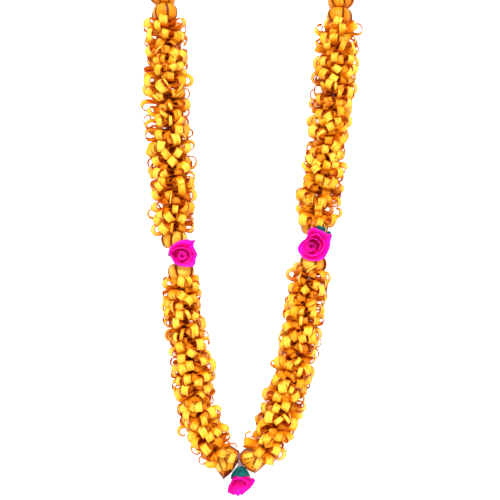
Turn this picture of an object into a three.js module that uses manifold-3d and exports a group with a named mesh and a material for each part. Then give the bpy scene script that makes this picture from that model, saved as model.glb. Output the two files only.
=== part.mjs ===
// Sandalwood garland, laid flat on a surface. A thread carries everything: four fluffy lengths of
// looped wood shavings, round puffs of folded shavings between them and all round the neck, and three
// cloth roses, each in a green calyx. Millimetres, +Z up, the surface at z = 0, the neck towards +Y.
// The origin is at the bottom centre of the garland's box.
import * as THREE from "three";
import { mergeVertices } from "three/addons/utils/BufferGeometryUtils.js";
import Module from "manifold-3d";

const wasm = await Module();
wasm.setup();

// ---- Driving dimensions -------------------------------------------------------------------------

const THREAD_RADIUS = 0.8;
const THREAD_SIDES = 6;
const HOLE_RADIUS = 1.5; // the way for the thread through shavings and puffs
const SEAT_GAP = 0.35; // between neighbours that touch
const PUFF_GAP = 0.9; // between puffs on the bend of the neck, measured at the thread

const CORE_RADIUS = 5.4; // the pinched roots of the loops, threaded side by side
const CORE_SIDES = 8; // one flat for each root of two neighbouring whorls
const CORE_STEPS = 8;
const WHORL_PITCH = 13;
const END_ROOM = 9.5; // from either end of a length to its nearest whorl
const LOOP_REACH = 20.5; // from the thread to the tip of a loop
const LOOP_REACH_SPREAD = 1.8;
const LOOP_HEIGHT = 13; // across the round end of a loop, along the thread
const LOOP_WIDEST = 0.78; // where a loop is highest, as a share of its reach
const STRIP_WIDTH = 11;
const STRIP_THICKNESS = 0.9;
const ROOT_WIDTH = 4.1; // of the same strip where it is pinched at the thread
const ROOT_HEIGHT = 2.6; // of its two ends, one on the other
const LOOP_LEAN = 0.1; // most lean along the thread, in radians
const LOOP_TWIST = 0.3; // most turn about the loop's own length, in radians

const PUFF_RADIUS = 13.2;
const PUFF_LENGTH = 17;
const FOOT_PUFF_LENGTH = 20.5; // the two that close the lower lengths, either side of the knot
const PUFF_STRIPS = 6; // wide shavings folded round one puff, each lapping over the next
const PUFF_LAP = 0.05; // how far a lap stands proud, as a share of the radius

const ROSE_SIDES = 15;
const ROSE_PETALS = 5;
const ROSE_INNER_PETALS = 3;
const CALYX_THICKNESS = 0.9;
const STEM_RADIUS = 1.4;

const KNOT_RADIUS = 2.6;
const TAIL_BEND = 3; // the straight end of the tail, in line with the lowest rose

// ---- The thread's route -------------------------------------------------------------------------
// From the knot at the foot, up the left arm, round the neck and down the right arm to the knot.
// Each point is [x, y, z]; a name marks where a piece sits.

const ARM_HEIGHT = 20; // of the thread above the surface, in the fluffy lengths
const PUFF_HEIGHT = 12.5; // where puffs lie on the surface
const ROUTE = [
  { at: [-14.3, -257.0, 14], name: "knot_left" },
  { at: [-28.8, -261.0, 14.5], name: "puff_foot_left" },
  { at: [-45.8, -235.0, ARM_HEIGHT] },
  { at: [-55.3, -203.5, ARM_HEIGHT] },
  { at: [-60.8, -164.5, ARM_HEIGHT] },
  { at: [-66.8, -124.5, ARM_HEIGHT] },
  { at: [-69.6, -92.0, ARM_HEIGHT] },
  { at: [-70.8, -72.0, 18], name: "puff_under_rose_left" },
  { at: [-74.3, -55.5, 17.5], name: "rose_left" },
  { at: [-77.8, -40.0, 18], name: "puff_over_rose_left" },
  { at: [-78.1, 0.5, ARM_HEIGHT] },
  { at: [-81.1, 50.5, ARM_HEIGHT] },
  { at: [-83.8, 100.5, ARM_HEIGHT] },
  { at: [-85.6, 150.5, ARM_HEIGHT] },
  { at: [-87.3, 187.0, 15], name: "neck_left" },
  { at: [-88.3, 210.5, PUFF_HEIGHT] },
  { at: [-62.7, 261.4, PUFF_HEIGHT] },
  { at: [-0.8, 281.5, PUFF_HEIGHT] },
  { at: [61.1, 261.4, PUFF_HEIGHT] },
  { at: [87.2, 210.5, PUFF_HEIGHT] },
  { at: [88.2, 183.0, 15], name: "neck_right" },
  { at: [85.5, 150.5, ARM_HEIGHT] },
  { at: [81.5, 100.5, ARM_HEIGHT] },
  { at: [75.0, 50.5, ARM_HEIGHT] },
  { at: [67.2, 0.5, ARM_HEIGHT] },
  { at: [62.7, -27.5, 18], name: "puff_over_rose_right" },
  { at: [61.2, -46.0, 17.5], name: "rose_right" },
  { at: [61.2, -64.0, 18], name: "puff_under_rose_right" },
  { at: [55.7, -86.5, ARM_HEIGHT] },
  { at: [49.5, -124.5, ARM_HEIGHT] },
  { at: [43.5, -164.5, ARM_HEIGHT] },
  { at: [31.4, -201.5, ARM_HEIGHT] },
  { at: [22.2, -231.5, ARM_HEIGHT] },
  { at: [1.2, -260.5, 14.5], name: "puff_foot_right" },
  { at: [-11.3, -258.0, 14], name: "knot_right" },
];
const DIVISIONS_PER_POINT = 60;

const route = new THREE.CatmullRomCurve3(
  ROUTE.map((p) => new THREE.Vector3(...p.at)),
  false,
  "catmullrom",
  0.5,
);
route.arcLengthDivisions = DIVISIONS_PER_POINT * (ROUTE.length - 1);
const arcLengths = route.getLengths();
const routeLength = route.getLength();

// Length along the thread of a named point of the route.
function arcOf(name) {
  return arcLengths[ROUTE.findIndex((p) => p.name === name) * DIVISIONS_PER_POINT];
}

function pointAt(arc) {
  return route.getPointAt(arc / routeLength);
}

function directionAt(arc) {
  return route.getTangentAt(arc / routeLength);
}

// ---- The order of pieces along the thread -------------------------------------------------------
// A piece is a span [from, to] of the thread. Puffs sit at named points; fluffy lengths fill the rest.

function puffSpan(centre, length = PUFF_LENGTH) {
  return { from: centre - length / 2, to: centre + length / 2 };
}

function neckSpans() {
  const first = arcOf("neck_left");
  const last = arcOf("neck_right");
  const count = Math.round((last - first) / (PUFF_LENGTH + PUFF_GAP)) + 1;
  const pitch = (last - first) / (count - 1);
  return Array.from({ length: count }, (_, i) => {
    const centre = first + i * pitch;
    return { from: centre - (pitch - PUFF_GAP) / 2, to: centre + (pitch - PUFF_GAP) / 2 };
  });
}

const puffs = {
  puff_foot_left: puffSpan(arcOf("puff_foot_left"), FOOT_PUFF_LENGTH),
  puff_under_rose_left: puffSpan(arcOf("puff_under_rose_left")),
  puff_over_rose_left: puffSpan(arcOf("puff_over_rose_left")),
};
neckSpans().forEach((span, i) => {
  puffs[`puff_neck_${String(i + 1).padStart(2, "0")}`] = span;
});
puffs.puff_over_rose_right = puffSpan(arcOf("puff_over_rose_right"));
puffs.puff_under_rose_right = puffSpan(arcOf("puff_under_rose_right"));
puffs.puff_foot_right = puffSpan(arcOf("puff_foot_right"), FOOT_PUFF_LENGTH);

const neckNames = Object.keys(puffs).filter((name) => name.startsWith("puff_neck"));

function between(first, second) {
  return {
    from: puffs[first].to + SEAT_GAP,
    to: puffs[second].from - SEAT_GAP,
    neighbours: [puffs[first], puffs[second]],
  };
}

const lengths = {
  shavings_lower_left: between("puff_foot_left", "puff_under_rose_left"),
  shavings_upper_left: between("puff_over_rose_left", neckNames[0]),
  shavings_upper_right: between(neckNames.at(-1), "puff_over_rose_right"),
  shavings_lower_right: between("puff_under_rose_right", "puff_foot_right"),
};

// Even stations along one span, ends included.
function stations(span, steps) {
  return Array.from({ length: steps + 1 }, (_, i) => span.from + ((span.to - span.from) * i) / steps);
}

// ---- Small tools --------------------------------------------------------------------------------

// A seeded draw between -1 and 1, the same on every run.
function drawer(seed) {
  let state = seed;
  return () => {
    state = (state + 0x6d2b79f5) | 0;
    let mixed = Math.imul(state ^ (state >>> 15), 1 | state);
    mixed = (mixed + Math.imul(mixed ^ (mixed >>> 7), 61 | mixed)) ^ mixed;
    return ((mixed ^ (mixed >>> 14)) >>> 0) / 2147483648 - 1;
  };
}

function solidOf(geometry) {
  const bare = geometry.index ? geometry.toNonIndexed() : geometry.clone();
  bare.deleteAttribute("normal");
  bare.deleteAttribute("uv");
  const merged = mergeVertices(bare, 1e-4);
  return new wasm.Manifold(
    new wasm.Mesh({
      numProp: 3,
      vertProperties: merged.attributes.position.array,
      triVerts: new Uint32Array(merged.index.array),
    }),
  );
}

function geometryOf(solid) {
  const mesh = solid.getMesh();
  return new THREE.BufferGeometry()
    .setAttribute("position", new THREE.BufferAttribute(mesh.vertProperties, 3))
    .setIndex(new THREE.BufferAttribute(mesh.triVerts, 1));
}

// The part of a solid above the surface that the garland lies on: it rests on the flat left by the cut.
function flattenedOnSurface(solid) {
  return solid.trimByPlane([0, 0, 1], 0);
}

// Axes across a run of the thread: along it, level to its side, and up.
function axesAlong(along) {
  const side = new THREE.Vector3(0, 0, 1).cross(along).normalize();
  return { along, side, up: along.clone().cross(side) };
}

// Corners of a regular section across a run.
function ringAt(point, along, radius, sides) {
  const { side, up } = axesAlong(along);
  return Array.from({ length: sides }, (_, k) => {
    const angle = (2 * Math.PI * (k + 0.5)) / sides;
    return point
      .clone()
      .addScaledVector(side, radius * Math.cos(angle))
      .addScaledVector(up, radius * Math.sin(angle));
  });
}

// Surfaces are gathered as a list of corners, three to a triangle.
function addQuad(corners, a, b, c, d) {
  corners.push(a, b, c, a, c, d);
}

// The wall between two rings, leaving out the sides that are open.
function addWall(corners, here, next, openSides = []) {
  here.forEach((corner, k) => {
    const other = (k + 1) % here.length;
    if (!openSides.includes(k)) addQuad(corners, corner, here[other], next[other], next[k]);
  });
}

// A wall through each ring of a run in turn.
function addWalls(corners, rings) {
  rings.slice(1).forEach((ring, i) => addWall(corners, rings[i], ring));
}

// A solid rod of regular section along a run of points.
function rod(points, radius, sides) {
  const rings = points.map((point, i) => {
    const before = points[Math.max(i - 1, 0)];
    const after = points[Math.min(i + 1, points.length - 1)];
    return ringAt(point, after.clone().sub(before).normalize(), radius, sides);
  });
  const corners = [];
  addWalls(corners, rings);
  rings[0].forEach((corner, k) => {
    const other = (k + 1) % sides;
    corners.push(points[0], rings[0][other], corner);
    corners.push(points.at(-1), rings.at(-1)[k], rings.at(-1)[other]);
  });
  return new THREE.BufferGeometry().setFromPoints(corners);
}

// ---- Looped shavings ----------------------------------------------------------------------------

// The side view of one loop past its root: a strip that leaves the thread, widens to a round end and
// comes back, with an eye in it. x runs out from the thread, y along it.
function loopOutline(reach, height) {
  const vectors = (points) => points.map((p) => new THREE.Vector2(...p));
  const eyeReach = 0.92 * reach - STRIP_THICKNESS;
  const eyeHeight = 0.38 * height - STRIP_THICKNESS;
  return {
    outer: vectors([
      [CORE_RADIUS, -ROOT_HEIGHT / 2],
      [LOOP_WIDEST * reach, -0.5 * height],
      [reach, -0.26 * height],
      [reach, 0.26 * height],
      [LOOP_WIDEST * reach, 0.5 * height],
      [CORE_RADIUS, ROOT_HEIGHT / 2],
    ]),
    eye: vectors([
      [0.36 * reach, 0],
      [eyeReach, -eyeHeight],
      [eyeReach, eyeHeight],
    ]),
  };
}

// Half the strip's width at a distance from the thread: it spreads from the root to its full width.
function halfWidth(x, reach) {
  const share = Math.min(1, x / (LOOP_WIDEST * reach));
  return (ROOT_WIDTH + (STRIP_WIDTH - ROOT_WIDTH) * share ** 2) / 2;
}

// The farthest that a loop may reach before a corner of its strip would pass under the surface.
function reachAboveSurface(foot, out, along, across, height) {
  if (out.z > -0.05) return Infinity;
  const drop = (STRIP_WIDTH / 2) * Math.abs(across.z) + 0.26 * height * Math.abs(along.z);
  return (foot.z - drop) / -out.z;
}

// One loop on the open flat of the core between the rings near and far.
function addLoop(corners, arc, near, far, flat, draw) {
  const foot = pointAt(arc);
  const { along: thread, side, up } = axesAlong(directionAt(arc));
  const angle = (2 * Math.PI * (flat + 1)) / CORE_SIDES;
  const lean = LOOP_LEAN * draw();
  const out = side.clone().multiplyScalar(Math.cos(angle)).addScaledVector(up, Math.sin(angle));
  out.multiplyScalar(Math.cos(lean)).addScaledVector(thread, Math.sin(lean));
  const across = out.clone().cross(thread).normalize().applyAxisAngle(out, LOOP_TWIST * draw());
  const along = across.clone().cross(out);
  const height = LOOP_HEIGHT * (1 + 0.08 * draw());
  const reachWanted = LOOP_REACH + LOOP_REACH_SPREAD * draw();
  const reach = Math.min(reachWanted, reachAboveSurface(foot, out, along, across, height));

  const { outer, eye } = loopOutline(reach, height);
  const edgeOf = (sign) => (p) =>
    foot
      .clone()
      .addScaledVector(out, p.x)
      .addScaledVector(along, p.y)
      .addScaledVector(across, sign * halfWidth(p.x, reach));
  const nextFlat = (flat + 1) % CORE_SIDES;
  const edges = [
    { root: [near[flat], far[flat]], at: edgeOf(1) },
    { root: [near[nextFlat], far[nextFlat]], at: edgeOf(-1) },
  ].map(({ root, at }) => ({
    outer: [root[0], ...outer.slice(1, -1).map(at), root[1]],
    eye: eye.map(at),
  }));

  const [upper, lower] = edges.map((edge) => [...edge.outer, ...edge.eye]);
  THREE.ShapeUtils.triangulateShape(outer, [eye]).forEach(([a, b, c]) => {
    corners.push(upper[a], upper[b], upper[c], lower[c], lower[b], lower[a]);
  });
  for (let i = 0; i + 1 < outer.length; i++) {
    addQuad(corners, edges[1].outer[i], edges[1].outer[i + 1], edges[0].outer[i + 1], edges[0].outer[i]);
  }
  eye.forEach((_, i) => {
    const other = (i + 1) % eye.length;
    addQuad(corners, edges[0].eye[i], edges[0].eye[other], edges[1].eye[other], edges[1].eye[i]);
  });
}

// One fluffy length: whorls of loops, each turned half a step from the last, on a core with the
// thread's way through it. The flats of a whorl with an even number include the lowest one.
function shavings(span, seed) {
  const draw = drawer(seed);
  const corners = [];
  const coreRing = (arc) => ringAt(pointAt(arc), directionAt(arc), CORE_RADIUS, CORE_SIDES);
  const room = span.to - span.from - 2 * END_ROOM;
  const whorls = Math.round(room / WHORL_PITCH) + 1;
  let last = coreRing(span.from);
  const start = last;
  for (let j = 0; j < whorls; j++) {
    const arc = span.from + END_ROOM + (room * j) / (whorls - 1);
    const near = coreRing(arc - ROOT_HEIGHT / 2);
    const far = coreRing(arc + ROOT_HEIGHT / 2);
    const flats = Array.from({ length: CORE_SIDES / 2 }, (_, k) => 2 * k + ((j + 1) % 2));
    addWall(corners, last, near);
    addWall(corners, near, far, flats);
    flats.forEach((flat) => addLoop(corners, arc, near, far, flat, draw));
    last = far;
  }
  const hole = stations(span, CORE_STEPS).map((arc) =>
    ringAt(pointAt(arc), directionAt(arc), HOLE_RADIUS, CORE_SIDES),
  );
  addWalls(corners, [last, coreRing(span.to), ...hole.reverse(), start]);
  return geometryOf(betweenPuffs(solidOf(new THREE.BufferGeometry().setFromPoints(corners)), span));
}

// Cut square to the puffs at both ends, so that no strip strays into them.
function betweenPuffs(solid, { neighbours: [first, second] }) {
  const cut = (whole, near, far) => {
    const along = pointAt(near).sub(pointAt(far)).normalize();
    return whole.trimByPlane(along.toArray(), along.dot(pointAt(near)) + SEAT_GAP);
  };
  return cut(cut(solid, first.to, first.from), second.from, second.to);
}

// ---- Puffs of folded shavings -------------------------------------------------------------------

// A barrel with a way through it, turned about its own axis. Each wide strip starts under its
// neighbour and ends over the next, so the outline steps up and down round the puff.
function puff(span, quarterTurn) {
  const start = pointAt(span.from);
  const end = pointAt(span.to);
  const half = start.distanceTo(end) / 2;
  const profile = [
    [HOLE_RADIUS + 0.1, -half],
    [0.78 * PUFF_RADIUS, -0.8 * half],
    [PUFF_RADIUS, 0],
    [0.78 * PUFF_RADIUS, 0.8 * half],
    [HOLE_RADIUS + 0.1, half],
    [HOLE_RADIUS + 0.1, -half],
  ].map((p) => new THREE.Vector2(...p));
  const geometry = new THREE.LatheGeometry(profile, 2 * PUFF_STRIPS);
  const position = geometry.attributes.position;
  const point = new THREE.Vector3();
  for (let i = 0; i < position.count; i++) {
    point.fromBufferAttribute(position, i);
    const radius = Math.hypot(point.x, point.z);
    if (radius < 2 * HOLE_RADIUS) continue;
    const side = Math.round((Math.atan2(point.z, point.x) / Math.PI) * PUFF_STRIPS);
    const lap = 1 + (side % 2 === 0 ? PUFF_LAP : -PUFF_LAP);
    position.setXYZ(i, point.x * lap, point.y, point.z * lap);
  }
  const { along, side, up } = axesAlong(end.clone().sub(start).normalize());
  geometry.rotateY((quarterTurn * Math.PI) / 4 / PUFF_STRIPS);
  geometry.applyMatrix4(
    new THREE.Matrix4().makeBasis(up, along, side).setPosition(start.add(end).multiplyScalar(0.5)),
  );
  return geometryOf(flattenedOnSurface(solidOf(geometry)));
}

// ---- Cloth roses --------------------------------------------------------------------------------

// Height of a petal's free edge round the rose: 1 at the middle of each petal, 0 between two.
function petalEdge(angle, petals) {
  return Math.abs(Math.sin((petals * angle) / 2));
}

// The side view of a rose from its foot up the outer petals, then down and up over each inner ring
// to the curled heart. lobes is how much of the petals' scalloping a ring of points takes.
const ROSE_PROFILE = [
  { r: 0, h: 0 },
  { r: 4.5, h: 0.5 },
  { r: 9, h: 4 },
  { r: 12.5, h: 9 },
  { r: 13.6, h: 13, lobes: 2.2, petals: ROSE_PETALS },
  { r: 11, h: 8.5 },
  { r: 9.4, h: 14.4, lobes: 1.4, petals: ROSE_INNER_PETALS },
  { r: 7.4, h: 9.5 },
  { r: 5.6, h: 15.6, lobes: 0.8, petals: ROSE_INNER_PETALS },
  { r: 3.6, h: 11.5 },
  { r: 2, h: 15.2 },
  { r: 0, h: 12.5 },
];

function latheOf(profile) {
  const geometry = new THREE.LatheGeometry(
    profile.map((p) => new THREE.Vector2(p.r, p.h)),
    ROSE_SIDES,
  );
  const position = geometry.attributes.position;
  for (let i = 0; i < position.count; i++) {
    const ring = profile[i % profile.length];
    if (!ring.lobes) continue;
    const x = position.getX(i);
    const z = position.getZ(i);
    const edge = petalEdge(Math.atan2(x, z), ring.petals);
    const spread = 1 + (ring.lobes * edge) / ring.r;
    const climb = (ring.climb ?? 0.7) * ring.lobes * edge;
    position.setXYZ(i, x * spread, position.getY(i) + climb, z * spread);
  }
  return geometry;
}

// A lathe's own axis is +Y; this stands it at a place, facing a way.
function placed(geometry, foot, facing) {
  const turn = new THREE.Quaternion().setFromUnitVectors(new THREE.Vector3(0, 1, 0), facing);
  return geometry.applyQuaternion(turn).translate(foot.x, foot.y, foot.z);
}

function rosePetals(rose) {
  return placed(latheOf(ROSE_PROFILE).scale(rose.size, rose.size, rose.size), rose.foot, rose.facing);
}

// A thin cup round the rose's foot with five pointed sepals up its outer petals, and a stem that
// reaches down to the thread. The profile is for a rose of size 1.
function roseCalyx(rose) {
  const gap = SEAT_GAP;
  const wall = CALYX_THICKNESS;
  const profile = [
    { r: 0, h: -rose.stem / rose.size },
    { r: rose.stemRadius / rose.size, h: -rose.stem / rose.size },
    { r: rose.stemRadius / rose.size, h: -2 * gap - wall },
    { r: 4.9 + gap, h: 0.3 - gap - wall },
    { r: 9.2 + gap + 0.7 * wall, h: 4 - gap - 0.6 * wall },
    { r: 9.9 + gap + wall, h: 5, lobes: 1.9, petals: ROSE_PETALS, climb: 1.5 },
    { r: 9.9 + gap, h: 5.2, lobes: 1.9, petals: ROSE_PETALS, climb: 1.43 },
    { r: 9 + 0.9 * gap, h: 4 - 0.7 * gap },
    { r: 4.5 + 0.7 * gap, h: 0.5 - 0.9 * gap },
    { r: 0, h: -gap },
  ];
  return placed(latheOf(profile).scale(rose.size, rose.size, rose.size), rose.foot, rose.facing);
}

// Two roses stand on the thread between puffs; the third hangs from the knot and lies on its side.
const ROSES = {
  rose_left: { size: 0.92, foot: [-69.8, -54.5, 27.0], facing: [0.1, -0.12, 0.98] },
  rose_right: { size: 1.05, foot: [62.2, -44.5, 27.4], facing: [-0.22, -0.16, 0.95] },
  rose_foot: {
    size: 0.92,
    foot: [-11.3, -276.0, 8.5],
    facing: [-0.03, -0.87, 0.49],
    stem: 8,
    stemRadius: 3.6,
  },
};

for (const [name, rose] of Object.entries(ROSES)) {
  rose.foot = new THREE.Vector3(...rose.foot);
  rose.facing = new THREE.Vector3(...rose.facing).normalize();
  rose.stem ??= rose.foot.distanceTo(pointAt(arcOf(name))) - THREAD_RADIUS - SEAT_GAP;
  rose.stemRadius ??= STEM_RADIUS;
}

function roseParts() {
  const parts = {};
  for (const [name, rose] of Object.entries(ROSES)) {
    parts[`${name}_petals`] = rosePetals(rose);
    parts[`${name}_calyx`] = roseCalyx(rose);
  }
  return parts;
}

// ---- The thread ---------------------------------------------------------------------------------

// Straight through each puff and each step of a core, tied at the foot in a knot with a tail that
// runs down to the lowest rose.
function thread() {
  const arcs = [arcOf("knot_left"), arcOf("rose_left"), arcOf("rose_right"), arcOf("knot_right")];
  Object.entries(puffs).forEach(([name, span]) => {
    if (!name.startsWith("puff_neck")) arcs.push(span.from, span.to);
  });
  neckNames.forEach((name) => arcs.push(puffs[name].from - SEAT_GAP / 2));
  arcs.push(puffs[neckNames.at(-1)].to + SEAT_GAP / 2);
  Object.values(lengths).forEach((span) => arcs.push(...stations(span, CORE_STEPS).slice(1, -1)));
  arcs.sort((a, b) => a - b);
  const points = arcs.map(pointAt);
  const knot = points[0].clone().lerp(points.at(-1), 0.5);
  const { foot, facing, stem } = ROSES.rose_foot;
  const tail = foot.clone().addScaledVector(facing, -stem - SEAT_GAP);
  const bend = tail.clone().addScaledVector(facing, -TAIL_BEND);
  return geometryOf(
    wasm.Manifold.union([
      solidOf(rod(points, THREAD_RADIUS, THREAD_SIDES)),
      solidOf(new THREE.SphereGeometry(KNOT_RADIUS, 8, 6).translate(knot.x, knot.y, knot.z)),
      solidOf(rod([knot, bend, tail], THREAD_RADIUS, THREAD_SIDES)),
    ]),
  );
}

// ---- Materials and assembly ---------------------------------------------------------------------

const MATERIALS = {
  shavings: new THREE.MeshStandardMaterial({ color: 0xf3a832, roughness: 0.5, metalness: 0 }),
  puff: new THREE.MeshStandardMaterial({ color: 0xf2a03a, roughness: 0.55, metalness: 0 }),
  petals: new THREE.MeshStandardMaterial({ color: 0xea1290, roughness: 0.6, metalness: 0 }),
  calyx: new THREE.MeshStandardMaterial({ color: 0x0f7a70, roughness: 0.6, metalness: 0 }),
  thread: new THREE.MeshStandardMaterial({ color: 0xb8604a, roughness: 0.8, metalness: 0 }),
};

const garland = new THREE.Group();

function add(name, geometry, material) {
  const mesh = new THREE.Mesh(geometry, material);
  mesh.name = name;
  garland.add(mesh);
}

add("garland_thread", thread(), MATERIALS.thread);
Object.entries(lengths).forEach(([name, span], i) => add(name, shavings(span, 11 + i), MATERIALS.shavings));
Object.entries(puffs).forEach(([name, span], i) => add(name, puff(span, i % 3), MATERIALS.puff));
Object.entries(roseParts()).forEach(([name, geometry]) =>
  add(name, geometry, name.endsWith("petals") ? MATERIALS.petals : MATERIALS.calyx),
);

export default garland;
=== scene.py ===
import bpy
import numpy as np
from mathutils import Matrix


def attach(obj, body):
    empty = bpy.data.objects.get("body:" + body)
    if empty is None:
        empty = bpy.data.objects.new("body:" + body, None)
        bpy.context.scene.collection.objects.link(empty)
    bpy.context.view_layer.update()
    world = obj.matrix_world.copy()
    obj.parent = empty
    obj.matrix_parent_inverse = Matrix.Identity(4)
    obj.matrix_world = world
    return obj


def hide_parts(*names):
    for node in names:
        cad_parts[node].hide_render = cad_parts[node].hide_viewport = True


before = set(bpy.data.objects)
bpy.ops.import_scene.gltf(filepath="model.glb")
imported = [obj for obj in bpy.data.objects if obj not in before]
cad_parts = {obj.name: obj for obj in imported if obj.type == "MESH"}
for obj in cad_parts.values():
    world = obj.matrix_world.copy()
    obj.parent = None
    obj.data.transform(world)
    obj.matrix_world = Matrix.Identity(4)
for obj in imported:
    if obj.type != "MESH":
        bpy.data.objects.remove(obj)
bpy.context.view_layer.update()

# Sandalwood garland, laid flat, seen from straight above. Shapes are worked out in millimetres in the
# frame's own axes and turned to metres when their mesh is made. A name that ends in SPREAD is the most that
# a seeded draw adds or takes away, or the deviation of a normal draw: a share of the value itself, unless
# its comment gives a unit.

MM = 0.001
SEED = 62
TINY = 1e-9   # stands in for a length of nothing where something is divided by it
GROUND = 0.3  # mm above the surface, of the lowest middles of strips

# ---- The thread's route and what is on it ---------------------------------------------------------

ARM_HEIGHT = 20.0   # of the thread above the surface, in the fluffy lengths
PUFF_HEIGHT = 12.5  # and where puffs lie on the surface
ROUTE = (
    ("knot_left", (-14.3, -257.0, 14)),
    ("puff_foot_left", (-28.8, -261.0, 14.5)),
    ("", (-45.8, -235.0, ARM_HEIGHT)),
    ("", (-55.3, -203.5, ARM_HEIGHT)),
    ("", (-60.8, -164.5, ARM_HEIGHT)),
    ("", (-66.8, -124.5, ARM_HEIGHT)),
    ("", (-69.6, -92.0, ARM_HEIGHT)),
    ("puff_under_rose_left", (-70.8, -72.0, 18)),
    ("rose_left", (-74.3, -55.5, 17.5)),
    ("puff_over_rose_left", (-77.8, -40.0, 18)),
    ("", (-78.1, 0.5, ARM_HEIGHT)),
    ("", (-81.1, 50.5, ARM_HEIGHT)),
    ("", (-83.8, 100.5, ARM_HEIGHT)),
    ("", (-85.6, 150.5, ARM_HEIGHT)),
    ("neck_left", (-87.3, 187.0, 15)),
    ("", (-88.3, 210.5, PUFF_HEIGHT)),
    ("", (-62.7, 261.4, PUFF_HEIGHT)),
    ("", (-0.8, 281.5, PUFF_HEIGHT)),
    ("", (61.1, 261.4, PUFF_HEIGHT)),
    ("", (87.2, 210.5, PUFF_HEIGHT)),
    ("neck_right", (88.2, 183.0, 15)),
    ("", (85.5, 150.5, ARM_HEIGHT)),
    ("", (81.5, 100.5, ARM_HEIGHT)),
    ("", (75.0, 50.5, ARM_HEIGHT)),
    ("", (67.2, 0.5, ARM_HEIGHT)),
    ("puff_over_rose_right", (62.7, -27.5, 18)),
    ("rose_right", (61.2, -46.0, 17.5)),
    ("puff_under_rose_right", (61.2, -64.0, 18)),
    ("", (55.7, -86.5, ARM_HEIGHT)),
    ("", (49.5, -124.5, ARM_HEIGHT)),
    ("", (43.5, -164.5, ARM_HEIGHT)),
    ("", (31.4, -201.5, ARM_HEIGHT)),
    ("", (22.2, -231.5, ARM_HEIGHT)),
    ("puff_foot_right", (1.2, -260.5, 14.5)),
    ("knot_right", (-11.3, -258.0, 14)),
)
STEPS_PER_POINT = 60
SLOPE_STEP = 0.5    # mm to either side of a place, between which the thread's direction is taken
PUFF_LENGTH = 17.0
PUFF_RADIUS = 13.2
FOOT_PUFF_LENGTH = 20.5
PUFF_GAP = 0.9      # between the puffs of the neck, along the thread
SEAT_GAP = 0.35     # between the tail of the thread and the stem that it holds
VERTICAL = (0.0, 0.0, 1.0)


def smooth_line(points, steps):
    """A uniform Catmull-Rom curve through the points: between two of them, the cubic whose slope at each
    is half the step from the point before it to the point after it."""
    points = np.array(points, float)
    padded = np.vstack([2 * points[0] - points[1], points, 2 * points[-1] - points[-2]])
    before, start, end, after = (padded[i:len(padded) - 3 + i, None] for i in range(4))
    t = np.linspace(0, 1, steps, endpoint=False)[None, :, None]
    slope_in, slope_out = (end - before) / 2, (after - start) / 2
    run = (2 * t**3 - 3 * t**2 + 1) * start + (3 * t**2 - 2 * t**3) * end
    run = run + (t**3 - 2 * t**2 + t) * slope_in + (t**3 - t**2) * slope_out
    return np.vstack([run.reshape(-1, points.shape[1]), points[-1:]])


def arcs_along(run):
    """The length of a run of points from its start to each of them: the sum of the steps before it."""
    return np.concatenate([[0.0], np.cumsum(np.linalg.norm(np.diff(run, axis=0), axis=1))])


RUN = smooth_line([place for _, place in ROUTE], STEPS_PER_POINT)
RUN_ARCS = arcs_along(RUN)
ARC_OF = {name: RUN_ARCS[i * STEPS_PER_POINT] for i, (name, _) in enumerate(ROUTE) if name}


def unit(vectors):
    """Each vector over its own length."""
    return vectors / np.linalg.norm(vectors, axis=-1, keepdims=True)


def point_at(arcs):
    """Places on the thread at lengths along it, in a straight line between the points of its run."""
    return np.stack([np.interp(arcs, RUN_ARCS, RUN[:, axis]) for axis in range(3)], axis=-1)


def axes_at(arcs):
    """Along the thread, level to its side, and up across it."""
    along = unit(point_at(arcs + SLOPE_STEP) - point_at(arcs - SLOPE_STEP))
    side = unit(np.cross(VERTICAL, along))
    return along, side, np.cross(along, side)


def puff_spans():
    """Where each puff starts and ends on the thread: puffs at the named points of the route, and an even
    row of them round the neck, as many as fit."""
    first, last = ARC_OF["neck_left"], ARC_OF["neck_right"]
    count = round((last - first) / (PUFF_LENGTH + PUFF_GAP)) + 1
    pitch = (last - first) / (count - 1)
    centres = {name: (arc, FOOT_PUFF_LENGTH if "foot" in name else PUFF_LENGTH)
               for name, arc in ARC_OF.items() if name.startswith("puff")}
    for i in range(count):
        centres[f"puff_neck_{i + 1:02d}"] = (first + i * pitch, pitch - PUFF_GAP)
    return {name: (arc - length / 2, arc + length / 2) for name, (arc, length) in centres.items()}


PUFFS = puff_spans()
LAST_NECK_PUFF = max(name for name in PUFFS if name.startswith("puff_neck"))
LENGTHS = {  # the puffs at the two ends, how far from each the loops end, and how full they stand
    "shavings_lower_left": {
        "between": ("puff_foot_left", "puff_under_rose_left"), "rooms": (2.5, 5), "full": 0.94},
    "shavings_upper_left": {
        "between": ("puff_over_rose_left", "puff_neck_01"), "rooms": (6.5, 8.5), "full": 1.02},
    "shavings_upper_right": {
        "between": (LAST_NECK_PUFF, "puff_over_rose_right"), "rooms": (6.5, 2), "full": 0.95},
    "shavings_lower_right": {
        "between": ("puff_under_rose_right", "puff_foot_right"), "rooms": (4, 5.5), "full": 0.94},
}

# ---- Thin sheets ----------------------------------------------------------------------------------

# Degrees between two faces, past which the edge between them is drawn sharp.
SHAVING_CREASE = 35
CLOTH_CREASE = 50
THREAD_CREASE = 60


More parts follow.
